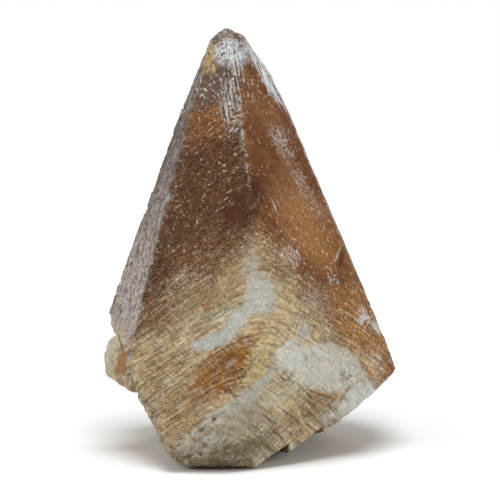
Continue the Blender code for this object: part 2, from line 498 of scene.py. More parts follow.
class Nodes:
    """Short hand for building one node tree. A value is a number, a vector, a colour or another socket."""

    def __init__(self, tree):
        self.tree = tree

    def fill(self, socket, value):
        if isinstance(value, bpy.types.NodeSocket):
            self.tree.links.new(value, socket)
        else:
            socket.default_value = value

    def add(self, kind, values=(), **settings):
        """A node of this kind. The values go to its sockets, by name or by number."""
        node = self.tree.nodes.new(kind)
        for name, value in settings.items():
            setattr(node, name, value)
        for key, value in dict(values).items():
            self.fill(node.inputs[key], value)
        return node

    def math(self, operation, *values):
        return self.add("ShaderNodeMath", enumerate(values), operation=operation).outputs[0]

    def chain(self, operation, values):
        """The same operation, carried through a row of values."""
        result = values[0]
        for value in values[1:]:
            result = self.math(operation, result, value)
        return result

    def times(self, *values):
        return self.chain("MULTIPLY", values)

    def plus(self, *values):
        return self.chain("ADD", values)

    def minus(self, *values):
        return self.chain("SUBTRACT", values)

    def larger(self, *values):
        return self.chain("MAXIMUM", values)

    def vector(self, operation, *values, output="Vector"):
        return self.add("ShaderNodeVectorMath", enumerate(values), operation=operation).outputs[output]

    def dot(self, vector, direction):
        return self.vector("DOT_PRODUCT", vector, direction, output="Value")

    def scaled(self, vector, factor):
        values = {"Vector": vector, "Scale": factor}
        return self.add("ShaderNodeVectorMath", values, operation="SCALE").outputs["Vector"]

    def moved(self, place, push, amount):
        """A place moved along a direction, or by a noise."""
        return self.vector("ADD", place, self.scaled(push, amount))

    def noise(self, place, size, detail, roughness=0.5, output="Fac"):
        values = {"Vector": self.scaled(place, 1.0 / size), "Scale": 1.0}
        values.update({"Detail": detail, "Roughness": roughness})
        return self.add("ShaderNodeTexNoise", values).outputs[output]

    def ramp(self, value, low, high, to_low=0.0, to_high=1.0):
        values = {"Value": value, "From Min": low, "From Max": high, "To Min": to_low, "To Max": to_high}
        return self.add("ShaderNodeMapRange", values, interpolation_type="SMOOTHSTEP").outputs["Result"]

    # A mix node has its colours in sockets 6 and 7, and its numbers in 2 and 3.
    def mix(self, share, under, over):
        values = {0: share, 6: under, 7: over}
        return self.add("ShaderNodeMix", values, data_type="RGBA", clamp_factor=True).outputs[2]

    def blend(self, share, under, over):
        values = {0: share, 2: under, 3: over}
        return self.add("ShaderNodeMix", values, data_type="FLOAT", clamp_factor=True).outputs[0]

    def mask(self, name):
        return self.add("ShaderNodeAttribute", attribute_name=name).outputs["Fac"]

    def group(self, tree, *values):
        """A node group, with values for its sockets in their order."""
        return self.add("ShaderNodeGroup", enumerate(values), node_tree=tree).outputs[0]


def new_material(name):
    """A material, the nodes to build it with, and its shader."""
    material = bpy.data.materials.new(name)
    material.use_nodes = True
    return material, Nodes(material.node_tree), material.node_tree.nodes["Principled BSDF"]


def new_group(name, vectors, numbers, output):
    """A shader node group with named sockets. Returns its tree, nodes, input sockets and output socket."""
    tree = bpy.data.node_groups.new(name, "ShaderNodeTree")
    for kind, names in (("NodeSocketVector", vectors), ("NodeSocketFloat", numbers)):
        for socket_name in names:
            tree.interface.new_socket(name=socket_name, in_out="INPUT", socket_type=kind)
    tree.interface.new_socket(name=output, in_out="OUTPUT", socket_type="NodeSocketFloat")
    nodes = Nodes(tree)
    return tree, nodes, nodes.add("NodeGroupInput").outputs, nodes.add("NodeGroupOutput").inputs[output]


def patch_group():
    """A soft-edged oval region, turned about the front-to-back axis."""
    tree, nodes, given, made = new_group("Patch", ("Place", "Centre", "Half size"), ("Tilt", "Edge"), "Mask")
    values = {"Vector": given["Place"], "Center": given["Centre"], "Angle": given["Tilt"]}
    turned = nodes.add("ShaderNodeVectorRotate", values, rotation_type="Y_AXIS").outputs["Vector"]
    apart = nodes.vector("SUBTRACT", turned, given["Centre"])
    away = nodes.vector("LENGTH", nodes.vector("DIVIDE", apart, given["Half size"]), output="Value")
    inner = nodes.minus(1.0, given["Edge"])
    outer = nodes.plus(1.0, given["Edge"])
    nodes.fill(made, nodes.ramp(away, inner, outer, 1.0, 0.0))
    return tree


def side_group():
    """Everything on one side of a plane, with a soft boundary."""
    vectors = ("Place", "Through", "Facing")
    tree, nodes, given, made = new_group("Side of a plane", vectors, ("Edge",), "Mask")
    beyond = nodes.dot(nodes.vector("SUBTRACT", given["Place"], given["Through"]), given["Facing"])
    nodes.fill(made, nodes.ramp(beyond, nodes.times(given["Edge"], -1.0), given["Edge"]))
    return tree


def threads_group():
    """Noise drawn out into threads along a direction, or pressed into sheets across it."""
    numbers = ("Along", "Across", "Detail")
    tree, nodes, given, made = new_group("Threads and sheets", ("Place", "Direction"), numbers, "Value")
    fine = nodes.math("DIVIDE", 1.0, given["Across"])
    coarse = nodes.math("DIVIDE", 1.0, given["Along"])
    pulled = nodes.times(nodes.dot(given["Place"], given["Direction"]), nodes.minus(coarse, fine))
    place = nodes.moved(nodes.scaled(given["Place"], fine), given["Direction"], pulled)
    grain = nodes.add("ShaderNodeTexNoise", {"Vector": place, "Scale": 1.0, "Detail": given["Detail"]})
    nodes.fill(made, grain.outputs["Fac"])
    return tree


def specks_group():
    """Specks, thinly scattered: round ones, or dashes where they are stretched along a direction."""
    numbers = ("Stretch", "Spacing", "Radius", "Share")
    tree, nodes, given, made = new_group("Specks", ("Place", "Direction"), numbers, "Mask")
    squeeze = nodes.minus(nodes.math("DIVIDE", 1.0, given["Stretch"]), 1.0)
    squeeze = nodes.times(nodes.dot(given["Place"], given["Direction"]), squeeze)
    place = nodes.moved(given["Place"], given["Direction"], squeeze)
    packed = nodes.scaled(place, nodes.math("DIVIDE", 1.0, given["Spacing"]))
    cells = nodes.add("ShaderNodeTexVoronoi", {"Vector": packed, "Scale": 1.0}).outputs
    radius = nodes.math("DIVIDE", given["Radius"], given["Spacing"])
    dot = nodes.ramp(cells["Distance"], nodes.times(radius, 0.5), radius, 1.0, 0.0)
    chance = nodes.dot(cells["Color"], (1.0, 0.0, 0.0))
    nodes.fill(made, nodes.times(dot, nodes.math("LESS_THAN", chance, given["Share"])))
    return tree


# Colour zones of the crystal: what each is, centre and half size in mm, tilt in degrees (rising to the right
# is positive), how soft its edge is, its colour and strength, and how strongly cleavage lines show there.
# Later ones lie over earlier ones. The edges of these are drawn out into streaks along the cleavage lines.
STREAKY_ZONES = (
    ("orange shoulder", (-8.3, 9.9, 63.5), (7.0, 9.0, 4.0), 0.0, 0.5, "rust", 0.9, 0.1),
    ("upper right glow", (2.4, 12.0, 65.5), (2.6, 10.0, 6.5), 15.0, 0.6, "rust", 0.25, 0.0),
    ("dark core", (-9.5, 1.0, 49.5), (10.0, 12.0, 9.0), 10.0, 0.6, "brown", 0.9, 0.1),
    ("ridge shadow", (2.4, -1.0, 53.0), (2.2, 7.0, 7.5), 4.0, 0.7, "amber", 0.6, 0.0),
    ("right glow", (9.5, 3.0, 44.0), (5.0, 9.0, 7.5), 25.0, 0.6, "honey", 0.85, 0.1),
    ("lower right glow", (14.0, 1.0, 37.5), (4.0, 9.0, 4.6), 25.0, 0.6, "orange", 0.35, 0.2),
    ("dusky veil", (-10.0, -10.0, 36.5), (9.5, 9.0, 2.8), 38.0, 0.7, "umber", 0.8, 0.8),
    ("darkest point", (0.2, -5.0, 48.6), (1.6, 6.0, 3.4), 10.0, 0.5, "deep brown", 0.95, 0.1),
    ("left rust", (-17.9, -5.3, 35.5), (3.4, 9.0, 8.0), -12.0, 0.6, "brown", 0.75, 0.35),
    ("left brown foot", (-17.5, -11.5, 27.0), (6.0, 8.0, 4.2), 35.0, 0.6, "umber", 0.75, 0.8),
    ("shade over crescent", (-6.0, -15.5, 31.2), (6.5, 7.0, 2.8), 38.0, 0.6, "buff", 0.9, 0.5),
    ("shade round crescent", (3.0, -15.5, 36.0), (5.0, 7.0, 3.6), 0.0, 0.6, "buff", 0.8, 0.4),
    ("right wedge", (21.6, 6.0, 33.0), (2.6, 9.0, 8.5), 23.0, 0.35, "rust", 0.85, 0.1),
    ("lower right stain", (21.8, -3.0, 20.6), (8.0, 9.0, 4.2), -42.0, 0.45, "orange", 0.9, 1.0),
    ("right corner", (24.9, -8.0, 17.4), (3.4, 6.0, 2.2), -50.0, 0.5, "tan", 0.9, 0.5),
    ("right brown", (20.0, -1.0, 27.0), (5.0, 9.0, 4.5), -20.0, 0.6, "orange", 0.6, 0.8),
    ("pale scratches", (-13.4, -9.3, 32.0), (4.2, 6.0, 1.6), 38.0, 0.8, "beige", 0.45, 0.9),
    ("golden flank", (5.8, -16.0, 29.5), (2.6, 6.0, 3.6), 12.0, 0.6, "tan", 0.8, 0.3),
    ("calm girdle", (2.8, -20.0, 25.4), (4.2, 7.0, 3.6), -15.0, 0.6, "tan", 0.5, 0.15),
    ("lower left stain", (-14.5, -22.5, 14.5), (6.0, 9.0, 6.0), 10.0, 0.7, "buff", 0.5, 0.9),
    ("stained band", (-4.6, -26.0, 18.2), (8.0, 9.0, 3.3), 40.0, 0.35, "ochre", 0.95, 0.9),
    ("lower band stain", (-13.5, -24.0, 9.5), (5.5, 9.0, 3.6), 55.0, 0.6, "ochre", 0.2, 0.9),
    ("yellow run", (2.6, -26.0, 19.0), (2.0, 6.0, 5.4), -24.0, 0.7, "yellow", 0.75, 0.2),
    ("lower yellow", (6.5, -23.5, 13.0), (4.6, 6.0, 2.2), 8.0, 0.6, "yellow", 0.65, 0.2),
    ("lower ochre", (10.5, -20.0, 9.0), (6.0, 6.0, 1.8), 12.0, 0.6, "buff", 0.75, 0.5),
    ("grey foot", (-3.0, -29.0, 9.6), (8.6, 6.0, 3.2), 30.0, 0.25, "grey", 0.9, 0.3),
    ("grey foot left", (-10.2, -29.0, 5.0), (4.0, 6.0, 2.6), 40.0, 0.35, "grey", 0.85, 0.4),
    # The olive foot and the dark foot are painted shade on the foot's underside, which faces down.
    ("olive foot", (0.5, -26.5, 4.6), (7.0, 6.0, 2.0), 28.0, 0.5, "olive", 0.75, 0.5),
    ("dark foot", (-4.0, -28.0, 3.2), (8.5, 6.0, 2.8), 10.0, 0.6, "olive", 0.85, 0.5),
    ("foot bloom", (-8.6, -29.0, 6.2), (2.8, 6.0, 1.8), 30.0, 0.5, "cream", 0.45, 0.2),
    ("stained speck", (-7.3, -16.0, 29.0), (1.2, 3.0, 1.0), 0.0, 0.6, "ochre", 0.7, 0.3),
    ("back bloom", (-6.0, 24.0, 30.0), (7.0, 9.0, 5.0), -30.0, 0.5, "cream", 0.85, 0.2),
    ("back stain", (8.0, 27.0, 42.0), (6.0, 9.0, 9.0), 20.0, 0.6, "brown", 0.7, 0.2),
    ("back rust", (-15.0, 20.0, 47.0), (5.0, 9.0, 9.0), -20.0, 0.6, "rust", 0.7, 0.3),
    ("right side bloom", (24.0, 10.0, 22.0), (6.0, 6.0, 4.0), 0.0, 0.5, "beige", 0.7, 0.5),
)

# The same for milky places and the knob, which have calm edges.
CALM_ZONES = (
    ("darkest spot", (-1.4, -7.4, 46.9), (5.8, 14.0, 3.1), 50.0, 0.35, "deep brown", 0.97, 0.5),
    ("crescent top", (0.4, -16.1, 36.0), (1.3, 8.0, 2.6), -10.0, 0.6, "cream", 0.5, 0.1),
    ("crescent heart", (2.1, -19.5, 31.2), (3.1, 8.0, 4.0), 4.0, 0.35, "cream", 0.86, 0.0),
    ("crescent sweep", (-2.6, -21.0, 26.2), (5.2, 7.0, 1.4), 42.0, 0.35, "cream", 0.98, 0.0),
    ("crescent foot", (-7.6, -20.8, 22.6), (3.0, 7.0, 1.3), 20.0, 0.35, "cream", 0.98, 0.0),
    ("pale gap", (-1.6, -27.0, 12.6), (4.5, 6.0, 1.2), 38.0, 0.5, "cream", 0.5, 0.2),
    ("pale streak", (2.2, -25.5, 15.4), (4.6, 6.0, 1.0), 46.0, 0.5, "cream", 0.75, 0.1),
    ("milky window", (14.2, -17.5, 17.0), (8.8, 8.0, 4.2), -16.0, 0.2, "milk", 0.95, 0.12),
    ("window shoulder", (18.4, -12.0, 16.6), (4.8, 8.0, 2.4), -42.0, 0.35, "milk", 0.85, 0.2),
    ("pale lower edge", (16.6, -15.5, 9.2), (4.4, 6.0, 1.7), 30.0, 0.5, "cream", 0.7, 0.4),
    ("window corner", (7.6, -23.0, 20.2), (3.1, 6.0, 2.1), 36.0, 0.35, "white", 0.75, 0.0),
    ("window spur", (9.8, -17.5, 24.0), (2.4, 5.0, 1.1), 55.0, 0.5, "cream", 0.8, 0.1),
    ("window edge", (22.4, -9.0, 17.6), (2.6, 5.0, 0.7), -46.0, 0.6, "tan", 0.7, 0.5),
    ("lower milk", (6.0, -23.5, 13.2), (4.6, 6.0, 2.0), 8.0, 0.6, "milk", 0.35, 0.1),
    ("lower corner", (20.6, -12.0, 10.9), (4.6, 7.0, 2.1), 36.0, 0.3, "white", 0.9, 0.1),
    ("knob", (-27.2, -6.0, 19.2), (3.9, 12.0, 6.6), 0.0, 0.15, "beige", 0.97, 0.3),
    ("knob crown", (-27.4, -6.0, 21.3), (2.5, 8.0, 3.6), 10.0, 0.6, "milk", 0.5, 0.1),
    ("knob stain", (-24.5, -10.8, 17.2), (1.0, 5.0, 2.8), -8.0, 0.5, "ochre", 0.8, 0.2),
)

# Places bruised white under the surface: what each is, centre, half size, tilt, edge, colour and strength.
FROSTED = (
    ("shoulder", (6.8, 13.4, 58.8), (1.5, 6.0, 3.8), 26.0, 0.7, "bruise", 0.9),
    ("upper flank", (10.4, 12.0, 51.0), (1.3, 6.0, 3.4), 26.0, 0.7, "bruise", 0.8),
    ("lower flank", (13.6, 9.0, 46.0), (0.8, 6.0, 2.6), 25.0, 0.7, "bruise", 0.6),
    ("front bloom", (7.8, -7.7, 38.0), (1.1, 4.0, 1.9), 20.0, 0.5, "frost", 0.8),
    ("small bloom", (15.7, -0.9, 32.7), (0.9, 4.0, 1.1), 0.0, 0.5, "frost", 0.8),
    ("lower bloom", (12.5, -9.0, 28.5), (3.0, 5.0, 3.0), 0.0, 0.7, "bruise", 0.4),
    ("edge chips", (22.8, -1.0, 25.6), (2.2, 5.0, 1.1), -50.0, 0.4, "frost", 0.9),
    ("corner chips", (24.6, -5.0, 17.6), (2.2, 6.0, 1.6), -50.0, 0.4, "frost", 0.6),
    ("ridge haze", (-2.5, 6.0, 63.5), (0.7, 6.0, 4.5), -6.0, 0.6, "frost", 0.6),
)

# Open cracks and healed seams, and a painted highlight along the edge of the foot, with the same columns.
SEAMS = (
    ("right crack", (17.5, 5.5, 37.0), (0.16, 6.0, 1.8), -24.0, 0.4, "frost", 0.45),
    ("right crack shade", (18.2, 5.5, 36.0), (0.50, 6.0, 3.0), -24.0, 0.4, "deep brown", 0.7),
    ("foot seam", (13.2, -17.9, 12.5), (3.7, 5.0, 0.24), -25.0, 0.4, "rust", 0.85),
    ("window seam", (6.8, -23.4, 22.3), (2.3, 5.0, 0.30), 30.0, 0.4, "white", 0.85),
    ("spur seam", (8.7, -20.2, 24.3), (0.26, 5.0, 1.9), -25.0, 0.4, "white", 0.5),
    # The foot edge is a painted highlight along the edge of the foot.
    ("foot edge", (-6.9, -29.7, 9.9), (5.2, 5.0, 0.35), 40.0, 0.4, "white", 0.5),
    ("knob crevice", (-24.6, -11.3, 21.6), (0.22, 6.0, 2.0), 25.0, 0.4, "brown", 0.7),
    ("upper edge chip", (22.9, 2.0, 24.8), (1.0, 6.0, 0.45), -34.0, 0.4, "white", 0.7),
    ("lower edge chip", (25.0, 2.0, 22.5), (1.5, 6.0, 0.45), -58.0, 0.4, "white", 0.75),
    ("dark arc", (-4.4, -5.0, 50.6), (3.2, 5.0, 0.18), 24.0, 0.4, "deep brown", 0.8),
    ("bright dash", (4.7, -4.0, 46.9), (0.14, 4.0, 1.2), 24.0, 0.4, "white", 0.7),
    ("darkest heart", (-1.5, -7.2, 47.0), (5.0, 14.0, 1.7), 52.0, 0.4, "deep brown", 0.8),
)


def crossing(first, second):
    """Unit vector along the line where two planes cross, upwards. Each plane is an azimuth and elevation."""
    along = unit(np.cross(toward(*first), toward(*second)))
    return tuple(along * np.sign(along[2]))


# Lines on the crystal: where cleavages cross its faces, and the edges that run up to the tip.
RISING = crossing(FACES["front_left"], CLEAVAGES[0])
FALLING = crossing(FACES["front_left"], CLEAVAGES[2])
RIDGE = crossing(FACES["front_left"], FACES["front_right"])
LEFT_EDGE = crossing(FACES["left"], FACES["front_left"])
RIGHT_EDGE = crossing(FACES["front_right"], FACES["right"])
SLOPING = crossing(FACES["front_right"], CLEAVAGES[0])
LOW_RISING = crossing(FACES["lower_front"], CLEAVAGES[0])
UP = (0.0, 0.0, 1.0)

# How zones are strewn into streaks: direction, length and thickness of the threads and their reach, in mm.
STREAKS = ((RISING, 7.0, 0.6, 11.0), (FALLING, 6.0, 0.6, 7.0))

# The clear cap over the pale lower half: a plane on each side of the front ridge, as a point in mm, a facing
# and how soft the boundary is.
CAP_PLANES = (((-9.5, -12.0, 32.5), (-0.62, 0.0, 0.78), 3.5), ((13.5, -11.0, 26.5), (0.80, 0.0, 0.60), 3.0))

# The fine lines along each cleavage: thickness and length in mm, and strength.
CLEAVAGE_LINES = ((0.42, 4.2, 1.0), (0.36, 3.0, 0.65), (0.38, 2.6, 0.6))

# Dashes: their direction, stretch, spacing and radius in mm, and the share of places that have one.
TIP_DASHES = ((RIDGE, 4.5, 0.75, 0.20, 0.9), (FALLING, 4.0, 0.75, 0.20, 0.9))
DARK_DASHES = ((LOW_RISING, 6.0, 0.74, 0.22, 0.6), (SLOPING, 6.0, 0.80, 0.22, 0.6))
# The bright dashes are painted glints.
BRIGHT_DASHES = (
    (FALLING, 4.0, 0.70, 0.20, 0.4),
    (SLOPING, 4.0, 0.76, 0.20, 0.4),
    (LOW_RISING, 4.0, 0.82, 0.20, 0.4),
)
# The flecks are painted glints.
FLECKS = ((RISING, 3.6, 0.95, 0.19, 0.45), (FALLING, 3.6, 0.90, 0.19, 0.45))
SOOT_SPECKS = ((RISING, 1.0, 3.1, 0.24, 0.16),)

# Places at the tip: centre and half size in mm, tilt in degrees and how soft the edge is.
TIP_GOLD = ((-8.9, 19.0, 76.2), (1.2, 6.0, 3.0), 8.0, 0.6)
TIP_HALO = ((-3.4, 19.5, 79.3), (6.0, 9.0, 3.0), -12.0, 0.6)
TIP_CORE = ((-3.6, 17.4, 77.4), (3.6, 7.0, 2.8), -12.0, 0.5)
BESIDE_RIDGE = ((-3.4, 9.0, 71.5), (2.1, 14.0, 9.0), -7.0, 0.4)
# The right band is a pale streak down the right edge by the tip, partly a painted highlight.
RIGHT_BAND = ((3.3, 22.0, 73.2), (1.25, 14.0, 8.2), 28.0, 0.35)

# Roughness of the front, of the clearer right side and of worn places.
MATT = 0.48
SATIN = 0.34
WORN = 0.65

# Height of the finest relief, in mm: cleavage lines, blotches, and the grain on three parts of the crystal.
LINE_HEIGHT = 0.14
BLOTCH_HEIGHT = 0.12
FRONT_GRAIN = 0.34
RIGHT_GRAIN = 0.10
LEFT_FACE_GRAIN = 0.12

# Gloss, and light under the surface.
CALCITE_SHADER = {
    "IOR": 1.6,
    "Specular IOR Level": 0.1,
    "Coat Weight": 0.08,
    "Coat Roughness": 0.12,
    "Subsurface Weight": 0.15,
    "Subsurface Radius": (1.0, 0.6, 0.35),
    "Subsurface Scale": 0.002,
}


class Finish:
    """What every layer of the calcite reads: places in mm, masks of the mesh and shared noises.

    A noise gathers round 0.5, so a ramp over it starts and ends near that.
    """

    def __init__(self, nodes, colours):
        self.nodes = nodes
        self.colours = colours
        self.patch = patch_group()
        self.side = side_group()
        self.threads = threads_group()
        self.specks = specks_group()
        self.place = nodes.scaled(nodes.add("ShaderNodeTexCoord").outputs["Object"], MM)
        self.height = nodes.dot(self.place, UP)
        # Noises that push the place about, and the places that they make, from calm edges to torn ones.
        centred = (0.5, 0.5, 0.5)
        self.wide = nodes.vector("SUBTRACT", nodes.noise(self.place, 8.0, 3.0, output="Color"), centred)
        self.fine = nodes.vector("SUBTRACT", nodes.noise(self.place, 1.6, 3.0, 0.6, output="Color"), centred)
        self.calm = nodes.moved(nodes.moved(self.place, self.wide, 2.4), self.fine, 3.0)
        self.straight = nodes.moved(self.place, self.fine, 0.45)
        self.bent = nodes.moved(self.place, self.fine, 0.9)
        self.torn = nodes.moved(self.place, self.fine, 2.4)
        self.strewn = self.strew()
        # Noises that several layers share: their size in mm, detail and roughness.
        self.clouds = nodes.noise(self.place, 7.0, 4.0, 0.6)
        self.mottle = nodes.noise(self.place, 2.2, 4.0, 0.65)
        self.blotch = nodes.noise(self.place, 1.2, 3.0, 0.7)
        self.grain = nodes.noise(self.place, 0.5, 2.0, 0.65)
        self.sugar = nodes.noise(self.place, 0.8, 2.0, 0.6)
        self.left = nodes.mask("left")
        self.right_side = nodes.mask("right_side")
        self.capped = self.cap_mask()

    def colour(self, name):
        return (*getattr(self.colours, name.replace(" ", "_")), 1.0)

    def paint(self, surface, name, *masks):
        """A colour over the surface, as strong as the masks and numbers multiplied together."""
        return self.nodes.mix(self.nodes.times(*masks), surface, self.colour(name))

    def strew(self):
        """The place, moved along the cleavage lines in threads, so that zones end in streaks."""
        nodes = self.nodes
        strewn = nodes.moved(nodes.moved(self.place, self.wide, 5.0), self.fine, 1.6)
        for direction, along, across, reach in STREAKS:
            threads = self.thread(self.place, direction, along, across)
            strewn = nodes.moved(strewn, direction, nodes.times(nodes.minus(threads, 0.5), reach))
        return strewn

    def thread(self, place, direction, along, across, detail=2.0):
        return self.nodes.group(self.threads, place, tuple(direction), along, across, detail)

    def zone(self, place, centre, half_size, tilt, edge):
        return self.nodes.group(self.patch, place, centre, half_size, math.radians(tilt), edge)

    def dashes(self, place, table):
        """The dashes of every row of a table."""
        return self.nodes.larger(*(self.nodes.group(self.specks, place, *row) for row in table))

    def cap_mask(self):
        """Where the clear honey-brown cap lies over the pale lower half."""
        return self.nodes.larger(*(self.nodes.group(self.side, self.strewn, *row) for row in CAP_PLANES))


def base_colours(finish):
    """The pale lower half and the clear cap. Returns the colour and how strongly cleavage lines show."""
    nodes, colour = finish.nodes, finish.colour
    pale = nodes.mix(nodes.ramp(finish.clouds, 0.35, 0.65), colour("tan"), colour("beige"))
    pale = finish.paint(pale, "cream", nodes.ramp(finish.mottle, 0.50, 0.72, 0.0, 0.45))
    pale = finish.paint(pale, "ochre", nodes.ramp(finish.mottle, 0.50, 0.30, 0.0, 0.45))
    left_cap = finish.paint(colour("brown"), "umber", nodes.ramp(finish.clouds, 0.50, 0.70, 0.0, 0.5))
    right_cap = finish.paint(colour("amber"), "honey", nodes.ramp(finish.clouds, 0.46, 0.66, 0.0, 0.4))
    cap = nodes.mix(finish.right_side, left_cap, right_cap)
    return nodes.mix(finish.capped, pale, cap), nodes.blend(finish.capped, 0.75, 0.08)


def tip_colours(finish, surface):
    """The bruised tip: grey-brown, scratched, with pale streaks that run down beside the ridge, and a pale
    band down the right edge that is partly a painted highlight.
    """
    nodes, paint = finish.nodes, finish.paint
    height = nodes.dot(finish.strewn, UP)
    lowered = nodes.minus(height, nodes.times(finish.right_side, 9.0))
    surface = paint(surface, "tip grey", nodes.ramp(lowered, 64.5, 70.0, 0.0, 0.85))
    scratches = finish.dashes(finish.torn, TIP_DASHES)
    surface = paint(surface, "frost", scratches, nodes.ramp(height, 65.0, 70.0, 0.0, 0.9))
    surface = paint(surface, "gold", finish.zone(finish.strewn, *TIP_GOLD), 0.8)
    halo = finish.zone(finish.strewn, *TIP_HALO)
    surface = paint(surface, "bruise", halo, nodes.ramp(finish.sugar, 0.44, 0.58), 0.6)
    core = finish.zone(finish.calm, *TIP_CORE)
    surface = paint(surface, "ice", core, nodes.ramp(finish.sugar, 0.34, 0.54), 0.95)
    streaks = finish.thread(finish.bent, RIDGE, 9.0, 0.42, 1.0)
    near_ridge = finish.zone(finish.place, *BESIDE_RIDGE)
    surface = paint(surface, "ice", nodes.ramp(streaks, 0.52, 0.60), near_ridge, 0.55)
    scored = nodes.larger(near_ridge, core)
    surface = paint(surface, "soot", nodes.ramp(streaks, 0.46, 0.38), scored, 0.75)
    # The pale band down the right edge is partly a painted highlight.
    band = finish.zone(finish.bent, *RIGHT_BAND)
    scored = finish.thread(finish.bent, RIGHT_EDGE, 8.0, 0.45, 1.5)
    surface = paint(surface, "ice", band, nodes.ramp(scored, 0.40, 0.54), 0.9)
    return paint(surface, "deep brown", band, nodes.ramp(scored, 0.40, 0.34), 0.8)


def paint_zones(finish, zones, place, surface, lines):
    """Stains, glows, painted shade and milky places, one over the other."""
    for _, centre, half_size, tilt, edge, name, strength, zone_lines in zones:
        mask = finish.nodes.times(finish.zone(place, centre, half_size, tilt, edge), strength)
        surface = finish.paint(surface, name, mask)
        lines = finish.nodes.blend(mask, lines, zone_lines)
    return surface, lines


def paint_marks(finish, marks, place, surface, cover=1.0):
    """Bruises, cracks, seams and a painted highlight, where the cover lets them show."""
    for _, centre, half_size, tilt, edge, name, strength in marks:
        mark = finish.zone(place, centre, half_size, tilt, edge)
        surface = finish.paint(surface, name, mark, cover, strength)
    return surface


def left_face_colours(finish, surface):
    """The left face: lilac grey with pale brushed streaks, partly its own colour and partly a painted
    reflection of the bright room at a grazing angle, with wavy dark lines along it.
    """
    nodes, paint = finish.nodes, finish.paint
    wave = finish.thread(nodes.moved(finish.place, finish.wide, 3.0), LEFT_EDGE, 12.0, 1.3, 1.5)
    brushed = finish.thread(finish.bent, LEFT_EDGE, 12.0, 0.45, 1.0)
    face = paint(finish.colour("slate"), "lilac", nodes.ramp(finish.height, 60.0, 24.0))
    face = paint(face, "frost", nodes.ramp(brushed, 0.52, 0.66, 0.0, 0.35))
    face = paint(face, "slate", nodes.ramp(brushed, 0.46, 0.36, 0.0, 0.25))
    line = nodes.ramp(nodes.math("ABSOLUTE", nodes.minus(wave, 0.5)), 0.06, 0.02)
    face = paint(face, "soot", line, nodes.ramp(finish.mottle, 0.50, 0.58), 0.85)
    return nodes.mix(nodes.times(finish.left, 0.95), surface, face)


def cleavage_lines(finish, surface, lines):
    """Fine lines where the three cleavages meet the surface, stained brown or bruised pale."""
    nodes = finish.nodes
    dark, light, weave = 0.0, 0.0, 0.0
    for direction, (thickness, length, weight) in zip(CLEAVAGES, CLEAVAGE_LINES):
        sheet = finish.thread(finish.straight, toward(*direction), thickness, length, 1.2)
        dark = nodes.larger(dark, nodes.ramp(sheet, 0.46, 0.35, 0.0, weight))
        light = nodes.larger(light, nodes.ramp(sheet, 0.57, 0.66, 0.0, weight))
        weave = nodes.plus(weave, nodes.times(nodes.minus(sheet, 0.5), weight))
    bands = finish.thread(finish.bent, toward(*CLEAVAGES[0]), 1.3, 9.0, 2.0)
    weave = nodes.plus(weave, nodes.times(nodes.minus(bands, 0.5), 0.6))
    strength = nodes.times(lines, nodes.ramp(finish.mottle, 0.34, 0.58))
    surface = finish.paint(surface, "line brown", dark, strength, 0.95)
    surface = finish.paint(surface, "cream", light, strength, 0.45)
    woven = nodes.blend(lines, 0.2, nodes.blend(finish.right_side, 1.15, 2.1))
    shade = nodes.plus(1.0, nodes.times(weave, woven))
    return nodes.scaled(surface, shade), nodes.minus(light, dark)


def scratches(finish, surface, lines):
    """Short scratches that cross each other: some stained brown, and bright dashes that are painted glints.
    """
    nodes = finish.nodes
    dark = finish.dashes(finish.straight, DARK_DASHES)
    bright = finish.dashes(finish.torn, BRIGHT_DASHES)
    here = nodes.ramp(finish.clouds, 0.36, 0.56, 0.5, 1.0)
    here = nodes.times(nodes.blend(finish.left, 1.0, 0.1), here)
    shown = nodes.larger(lines, nodes.times(finish.capped, 0.35))
    surface = finish.paint(surface, "line brown", dark, here, shown, 0.6)
    shown = nodes.blend(finish.right_side, 0.45, nodes.ramp(finish.height, 56.0, 38.0, 0.2, 0.9))
    # The bright dashes are painted glints.
    return finish.paint(surface, "glint", bright, here, shown)


def grain_and_specks(finish, surface, lines):
    """Etched grain over everything, bright dashes in the cap that are painted glints, and soot specks."""
    nodes = finish.nodes
    rough_cap = nodes.times(finish.capped, nodes.minus(1.0, finish.right_side))
    low_enough = nodes.ramp(finish.height, 74.0, 62.0)
    rough_cap = nodes.times(rough_cap, nodes.ramp(finish.height, 22.0, 28.0), low_enough)
    grain_strength = nodes.blend(rough_cap, nodes.blend(lines, 0.7, 1.7), 3.4)
    grain = nodes.times(nodes.minus(finish.grain, 0.5), grain_strength)
    blotch = nodes.times(nodes.minus(finish.blotch, 0.5), nodes.blend(rough_cap, 0.6, 1.6))
    wriggle = nodes.math("ABSOLUTE", nodes.minus(finish.sugar, 0.5))
    etched = nodes.times(nodes.ramp(wriggle, 0.045, 0.0), nodes.blend(rough_cap, 0.05, 0.5))
    shade = nodes.minus(nodes.plus(1.0, grain, blotch), etched)
    surface = nodes.scaled(surface, nodes.larger(shade, 0.25))
    shown = nodes.blend(lines, nodes.blend(finish.right_side, 0.7, 0.5), 0.3)
    shown = nodes.times(shown, nodes.blend(finish.left, 1.0, 0.0))
    # The flecks are painted glints, warmer in the cap.
    fleck = finish.paint(finish.colour("frost"), "glint", finish.capped, 0.7)
    surface = nodes.mix(nodes.times(finish.dashes(finish.torn, FLECKS), shown), surface, fleck)
    soot = finish.dashes(finish.place, SOOT_SPECKS)
    return finish.paint(surface, "soot", soot, nodes.blend(finish.capped, 0.9, 0.2))


